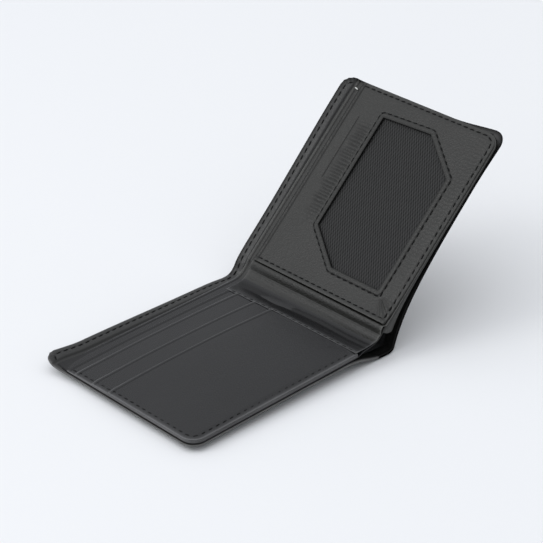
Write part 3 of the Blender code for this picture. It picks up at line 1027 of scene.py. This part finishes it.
def panel_relief(reach, y):
    """Height of the panel's face: window rim, hem, seams, wrinkles and the pressed line."""
    window = polygon_distance(reach, y, WINDOW)
    rim = 0.34 * (1 - smooth(1.9, 3.0, window)) - 0.16 * bump(window, RIM, 0.32)
    hem = 0.28 * (1 - smooth(1.3, 2.6, reach - HEM)) - 0.14 * bump(reach, HEM_SEAM, 0.32)
    outer = edge_distance(reach, y, ID_REACH, 0)
    seam = -0.15 * bump(outer, ID_EDGE_SEAM, 0.35) - 0.14 * top_line(y, ID_PANEL_TOP, 2.0)
    edge_lip = 0.18 * bump(ID_PANEL_TOP - y, 0.8, 0.7)
    pressed = -0.13 * pressed_line(reach, y, 0.22)
    wrinkles = 0.2 * wrinkle(reach, y)
    corner_x, corner_y = WINDOW[0][0] - 1.5, WINDOW[0][1] - 1.5
    away = np.hypot(reach - corner_x, y - corner_y)
    angle = np.arctan2(y - corner_y, reach - corner_x)
    fan = np.exp(-((angle + 2.25) / 0.5) ** 2) * smooth(1.0, 3.5, away) * (1 - smooth(9, 15, away))
    radial = 0.3 * np.sin(angle * 21 + 0.12 * away) * fan
    lower = (1 - smooth(8.5, 10.5, y)) * smooth(3.6, 5, y) * smooth(20, 34, reach)
    pulls = 0.07 * np.sin(reach * 3.3 + 0.8 * np.sin(y * 1.2)) * lower
    waves = sway(reach, y, (13, 8, -37, 15))
    roll = rolled(edge_distance(reach, y, ID_REACH - LAYER_INSET, LAYER_INSET), radius=1.4, depth=0.42)
    relief = rim + hem + hem_curl(reach, y) + seam + edge_lip + pressed
    return relief + wrinkles + radial + pulls + waves - roll


def build_panel(material):
    """The leather panel round the window, as rings from the window's edge to the outer edge."""
    inner, outer = [], []
    sides = list(zip(WINDOW, WINDOW[1:] + WINDOW[:1]))
    for (start, end), run in zip(sides, panel_outline()):
        count = int(max(math.dist(start, end), 20) / 0.34)
        inner.append(along_polyline([start, end], count))
        outer.append(along_polyline(run, count))
    inner, outer = np.concatenate(inner), np.concatenate(outer)
    gap = np.linalg.norm(outer - inner, axis=1)
    near = np.concatenate([NEAR_EDGE[:-2], [3.4]])
    middle = np.linspace(0, 1, 42)[1:-1]
    distance = [np.full_like(gap, d) for d in near]
    distance += [near[-1] + m * (gap - near[-1] - 3.2) for m in middle]
    distance += [gap - d for d in near[near < 3.2][::-1]]
    rings = []
    for d in distance:
        share = np.clip(d / gap, 0, 1)[:, None]
        rings.append(inner * (1 - share) + outer * share)
    rings = np.array(rings)
    reach, y = rings[..., 0], rings[..., 1]
    outside = np.minimum(edge_distance(reach, y, ID_REACH - LAYER_INSET, LAYER_INSET),
                         np.minimum(ID_PANEL_TOP - y, reach - HEM))
    edge = np.maximum(np.minimum(outside, polygon_distance(reach, y, WINDOW)), 0)
    face = panel_relief(reach, y)
    base = id_point(reach, y, 0 * reach)
    normal = unit(id_point(reach, y, 1 + 0 * reach) - base)
    window = polygon_distance(reach, y, WINDOW)
    outer = edge_distance(reach, y, ID_REACH, 0)
    # Painted shade in the pressed lines, stitch grooves and wrinkle valleys, along the outer and upper
    # edges, and at the window's edge, where it also cancels the lightened edge; tone 0.6 lightens the
    # outline as rubbed wear with a painted highlight.
    shade = 0.7 * top_line(y, ID_PANEL_TOP, 2.0, 0.28) + 0.45 * bump(window, RIM, 0.35)
    shade += 0.2 * bump(outer, ID_EDGE_SEAM, 0.3) + 0.2 * bump(reach, HEM_SEAM, 0.28)
    shade += 2.2 * np.exp(-np.maximum(ID_PANEL_TOP - y, 0) / EDGE_SHADE_STRIP)
    shade += 0.7 * pressed_line(reach, y, 0.3)
    shade += 0.75 * (1 - smooth(0.6, 1.1, outer)) + 0.4 * smooth(0.1, 0.9, -wrinkle(reach, y))
    shade += 1.3 * np.exp(-np.maximum(window, 0) / 0.5)
    piece = closed_sheet("id_panel_leather", base, face, ID_PANEL_BACK + hem_curl(reach, y), edge,
                         material, radius=0.34, cyclic=True, normal=normal,
                         shade=np.minimum(shade, DARKEST_PAINTED_SHADE), tone=0.6)
    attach(piece, "id_side")
    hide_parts("id_panel")


def build_window_mesh(material):
    """A woven mesh behind the window, with its threads as real relief."""
    xs = [c[0] for c in WINDOW]
    ys = [c[1] for c in WINDOW]
    margin = WINDOW_MARGIN
    reach = np.arange(min(xs) - margin, max(xs) + margin, MESH_STEP)
    y = np.arange(min(ys) - margin, max(ys) + margin, MESH_STEP)
    reach, y = np.meshgrid(reach, y)
    slant = math.radians(MESH_SLANT)
    along = reach * math.cos(slant) + y * math.sin(slant)
    across = y * math.cos(slant) - reach * math.sin(slant)
    rib = np.cos(2 * math.pi * across / MESH_RIB)
    row = np.cos(2 * math.pi * (along / MESH_ROW + 0.5 * across / MESH_RIB))
    threads = 0.55 + 0.24 * rib + 0.13 * row
    front = 0.14 * threads
    edge = np.minimum(np.minimum(reach - reach.min(), reach.max() - reach),
                      np.minimum(y - y.min(), y.max() - y))
    base = id_point(reach, y, WINDOW_MESH + 0 * reach)
    # The thread height is kept on the points as painted light: darker gaps, lighter and glossier thread
    # tops.
    piece = closed_sheet("id_window_weave", base, front, -0.18 + 0 * front, edge, material,
                         radius=0.1, shade=-threads)
    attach(piece, "id_side")
    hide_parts("id_window_mesh")


# ---- Stitches ----

def bead(length, radius):
    """One stitch: a drop-shaped bead lying along x with its flat side down."""
    rings, around = 7, 8
    t = np.linspace(-1, 1, rings)
    angle = np.arange(around) * 2 * math.pi / around
    width = radius * (1 - np.abs(t) ** 3) ** 0.5
    x = np.repeat(t * length / 2, around)
    side = np.outer(width, np.cos(angle)).ravel()
    rise = np.outer(width, np.sin(angle)).ravel() * 0.75
    points = np.stack([x, side, rise], axis=-1)[around:-around]
    tips = np.array([[-length / 2, 0, 0], [length / 2, 0, 0]])
    index = np.arange((rings - 2) * around).reshape(rings - 2, around)
    faces = [tuple(q) for q in quads(index, True)]
    first, last = len(points), len(points) + 1
    for i in range(around):
        j = (i + 1) % around
        faces.append((first, index[0, j], index[0, i]))
        faces.append((last, index[-1, i], index[-1, j]))
    return np.concatenate([points, tips]), faces


def stitches(name, line, normal, material, length=STITCH, radius=0.38, pitch=PITCH, sink=0.1):
    """A row of stitches along a line of points, each with the surface's normal."""
    at = lengths_along(line)
    count = max(int(at[-1] / pitch), 1)
    shape, shape_faces = bead(length, radius)
    points, faces = [], []
    for i in range(count):
        where = (i + 0.5) * at[-1] / count
        ends = [np.array([np.interp(where + d, at, line[:, k]) for k in range(3)])
                for d in (-length / 2, length / 2)]
        up = np.array([np.interp(where, at, normal[:, k]) for k in range(3)])
        forward = unit(ends[1] - ends[0])
        up = unit(up - forward * (up @ forward))
        side = np.cross(up, forward)
        forward = unit(forward + side * STITCH_TILT)
        side = np.cross(up, forward)
        middle = (ends[0] + ends[1]) / 2 - up * sink
        base = len(points) * len(shape)
        points.append(middle + shape[:, :1] * forward + shape[:, 1:2] * side + shape[:, 2:] * up)
        faces += [[base + k for k in f] for f in shape_faces]
    piece = new_piece(name, np.concatenate(points), faces, material)
    return piece


def dense(points, step=0.5):
    """A polyline with a point about every step."""
    out = []
    for a, b in zip(points, points[1:]):
        count = max(int(math.dist(a, b) / step), 1)
        out += [tuple(np.array(a) + (np.array(b) - np.array(a)) * i / count) for i in range(count)]
    return np.array(out + [points[-1]], float)


def corner_arc(centre, radius, start, end):
    """Points of an arc round a centre."""
    count = 10
    return [(centre[0] + radius * math.cos(a), centre[1] + radius * math.sin(a))
            for a in np.linspace(start, end, count)]


def card_top(reach, y):
    """Height of the layer that shows on the card side."""
    height = np.full_like(y, CARD_PANEL[0])
    for layer in (SLOT_UPPER, SLOT_LOWER, FRONT_POCKET):
        height = np.where(y < layer[1], layer[0], height)
    return height


def on_side(point, path, height):
    """A path of reach and y as points of a half, with the face's normals."""
    reach, y = path[:, 0], path[:, 1]
    line = point(reach, y, height)
    return line, unit(point(reach, y, height + 1) - line)


def edge_path(before, inset, right, top):
    """A seam along the bottom, round the free corner and up the free edge."""
    radius = CORNER - inset
    arc = corner_arc((right - radius, CORNER), radius, -math.pi / 2, 0)
    return dense(before + arc + [(right, top)])


def build_edge_stitches(thread):
    """The seams that sew each half's stack together."""
    end_gap = 1.5
    path = edge_path([(12.5, EDGE_SEAM)], EDGE_SEAM, CARD_REACH - EDGE_SEAM, CARD_PANEL[1] - end_gap)
    line, normal = on_side(card_point, path, card_top(path[:, 0], path[:, 1]))
    piece = stitches("stitches_card_edge", line, normal, thread)
    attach(piece, "card_side")
    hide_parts("thread_edge_card_side")

    top = ID_PANEL_TOP - end_gap
    path = edge_path([(HEM_SEAM, top), (HEM_SEAM, ID_EDGE_SEAM)], ID_EDGE_SEAM,
                     ID_REACH - ID_EDGE_SEAM, top)
    line, normal = on_side(id_point, path, panel_relief(path[:, 0], path[:, 1]) + 0.12)
    piece = stitches("stitches_id_edge", line, normal, thread)
    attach(piece, "id_side")
    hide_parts("thread_edge_id_side")


def build_window_stitches(thread):
    """The seam round the window, on six lines parallel to its sides."""
    lines = []
    for (ax, ay), (bx, by) in zip(WINDOW, WINDOW[1:] + WINDOW[:1]):
        dx, dy = bx - ax, by - ay
        length = math.hypot(dx, dy)
        nx, ny = dy / length * RIM, -dx / length * RIM
        lines.append(((ax + nx, ay + ny), (dx, dy)))
    corners = []
    for (p, u), (q, v) in zip(lines, lines[1:] + lines[:1]):
        t = ((q[0] - p[0]) * v[1] - (q[1] - p[1]) * v[0]) / (u[0] * v[1] - u[1] * v[0])
        corners.append((p[0] + t * u[0], p[1] + t * u[1]))
    path = dense(corners + corners[:1])
    line, normal = on_side(id_point, path, panel_relief(path[:, 0], path[:, 1]) + 0.14)
    piece = stitches("stitches_window", line, normal, thread)
    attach(piece, "id_side")
    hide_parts("thread_window")


def build_pale_fleck(pale):
    """A short off-white bead at the mouth's free corner, where a small bright fleck shows."""
    path = np.array([(103.6, 88.1), (103.2, 86.6), (102.6, 85.4)])
    line, normal = on_side(id_point, path, np.full(len(path), -1.25))
    piece = stitches("pale_fleck", line, normal, pale, length=2.4, radius=0.3, pitch=6.0, sink=0.0)
    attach(piece, "id_side")


def build_gusset_stitches(thread):
    """The seam along the gusset's folded edge on the card side."""
    end_gap = 2.5
    y = np.linspace(end_gap, GUSSET_HIGH - end_gap, 160)
    face = GUSSET_LINE[0][0][1]
    line = np.stack([np.full_like(y, -GUSSET_SEAM), y, face - gusset_drop(y)], axis=-1)
    normal = np.tile([0.0, 0.0, 1.0], (len(y), 1))
    piece = stitches("stitches_gusset", line, normal, thread, radius=0.28)
    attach(piece, "card_side")
    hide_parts("thread_gusset_card_side")


def build_mouth_stitches(thread, on_card_side):
    """The seam along the mouth rim, round the corner and a little way down the free edge."""
    y0 = LENGTH - MOUTH_SEAM
    sign = -1 if on_card_side else 1
    end = side_reach(on_card_side)
    middle = middle_place(SHELL_SURFACE, np.array([y0]))[0]
    start = middle + sign * 0.05
    right = end - MOUTH_SEAM
    radius = CORNER - MOUTH_SEAM
    run = np.linspace(start, sign * (right - radius), 260)
    arc = corner_arc((right - radius, y0 - radius), radius, math.pi / 2, 0.1)
    place = np.concatenate([run, [sign * p[0] for p in arc[1:]]])
    y = np.concatenate([np.full(len(run), y0), [p[1] for p in arc[1:]]])
    step = 0.1
    here = SHELL_SURFACE(place, y)
    across = SHELL_SURFACE(place + step, y) - here
    along = SHELL_SURFACE(place, y + step) - here
    normal = unit(np.cross(across, along))
    line = here + normal * (TURNED - 0.02)
    piece = stitches("stitches_mouth_" + side_name(on_card_side), line, normal, thread)
    blend_over_fold(piece, on_card_side)
    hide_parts(*(["thread_mouth_card_side", "thread_mouth_spine"] if on_card_side
                         else ["thread_mouth_id_side"]))


# ---- Stage ----

def build_floor():
    """The table, just under the wallet's lowest point."""
    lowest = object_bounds()[0][2]
    bpy.ops.mesh.primitive_plane_add(size=6, location=(0.6, 0.6, lowest - 0.1 * MM))
    floor = bpy.context.object
    floor.name = "floor"
    floor.data.materials.append(floor_material())


def build_lights():
    """A pale studio that is brighter overhead, and one large soft lamp."""
    world = bpy.data.worlds.new("studio")
    world.use_nodes = True
    background = world.node_tree.nodes["Background"]
    background.inputs["Color"].default_value = (0.95, 0.97, 1.0, 1)
    tree = world.node_tree
    place = add_node(tree, "TexCoord", "Generated", {})
    value = add_node(tree, "VectorMath", "Value", {0: place, 1: BRIGHT_SKY}, operation="DOT_PRODUCT")
    for operation, amount in (("MAXIMUM", 0.0), ("POWER", 2.0), ("MULTIPLY", 0.98), ("ADD", 0.6)):
        value = add_node(tree, "Math", 0, {0: value, 1: amount}, operation=operation)
    tree.links.new(value, background.inputs["Strength"])
    bpy.context.scene.world = world

    light = bpy.data.lights.new("key", "AREA")
    light.shape = "DISK"
    light.size = 0.7
    light.energy = 3.6
    light.color = (1, 0.99, 0.98)
    lamp = bpy.data.objects.new("key", light)
    lamp.location = (-1.0, 0.62, 1.0)
    target = Vector((0, 0, 0.03))
    lamp.rotation_euler = (target - lamp.location).to_track_quat("-Z", "Y").to_euler()
    bpy.context.scene.collection.objects.link(lamp)
    bpy.context.scene.view_settings.view_transform = "Standard"


def build_camera():
    """Seen from the bottom seam's end and the free edge of the card side, from well above."""
    yaw, pitch, roll = math.radians(48.39), math.radians(30.52), math.radians(-3.0)
    place = np.array([-561.7, -568.5, 510.1])
    ahead = np.array([math.cos(pitch) * math.cos(yaw), math.cos(pitch) * math.sin(yaw), -math.sin(pitch)])
    right = unit(np.cross(ahead, [0, 0, 1]))
    up = np.cross(right, ahead)
    right, up = (right * math.cos(roll) + up * math.sin(roll), up * math.cos(roll) - right * math.sin(roll))
    columns = [leaning(axis) / MM for axis in (right, up, -ahead)] + [to_row(place)]
    data = bpy.data.cameras.new("camera")
    data.lens = 145.0
    data.sensor_width = 36
    data.clip_start = 0.01
    camera = bpy.data.objects.new("camera", data)
    camera.matrix_world = Matrix([*zip(*columns), (0, 0, 0, 1)])
    bpy.context.scene.collection.objects.link(camera)
    bpy.context.scene.camera = camera


# ---- The wallet ----

def build_wallet():
    shell = leather_material("shell_leather", dark=(0.005, 0.005, 0.005), light=(0.011, 0.011, 0.010),
                             rubbed_and_lit=(0.110, 0.110, 0.108), roughness=0.36, grain=0.9, depth=0.08)
    card = leather_material("card_leather", dark=(0.004, 0.004, 0.005), light=(0.008, 0.008, 0.009),
                            rubbed_and_lit=(0.105, 0.105, 0.107), roughness=0.26, grain=0.45, depth=0.008,
                            specular=0.36)
    pebbled = leather_material("id_leather", dark=(0.004, 0.004, 0.003), light=(0.012, 0.012, 0.010),
                               rubbed_and_lit=(0.100, 0.100, 0.094), roughness=0.34, grain=0.8, depth=0.12,
                               specular=0.42)
    lining = cloth_material("lining_cloth", dark=(0.004, 0.004, 0.005), light=(0.012, 0.012, 0.013),
                            pitch=0.5, depth=0.05, roughness=0.9)
    weave = mesh_material()
    thread = thread_material()

    for on_card_side in (True, False):
        build_shell(on_card_side, shell)
        build_lining(on_card_side, lining)
        build_backing(on_card_side, card if on_card_side else pebbled)
        build_gusset(on_card_side, card if on_card_side else pebbled)
        build_mouth_stitches(thread, on_card_side)

    end = CARD_REACH - LAYER_INSET
    # The third number of each layer is painted shade along its upper edge.
    layers = [("card_panel", CARD_PANEL, 2.6), ("card_slot_upper", SLOT_UPPER, 0),
              ("card_slot_lower", SLOT_LOWER, 0), ("front_pocket", FRONT_POCKET, 0)]
    for name, (height, top), edge_shade in layers:
        piece = flat_layer(name + "_leather", card_point, end, LAYER_START, top, height, card,
                           edge_shade=edge_shade, swell=POCKET_SWELL)
        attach(piece, "card_side")
        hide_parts(name)
    piece = flat_layer("id_pocket_back_leather", id_point, ID_REACH - LAYER_INSET, HEM + 0.3,
                       ID_PANEL_TOP + 0.9, ID_POCKET_BACK, pebbled, thickness=0.38)
    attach(piece, "id_side")
    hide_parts("id_pocket_back")
    build_panel(pebbled)
    build_window_mesh(weave)
    build_edge_stitches(thread)
    build_window_stitches(thread)
    build_gusset_stitches(thread)
    build_pale_fleck(pale_fleck_material())


build_wallet()
build_floor()
build_lights()
build_camera()
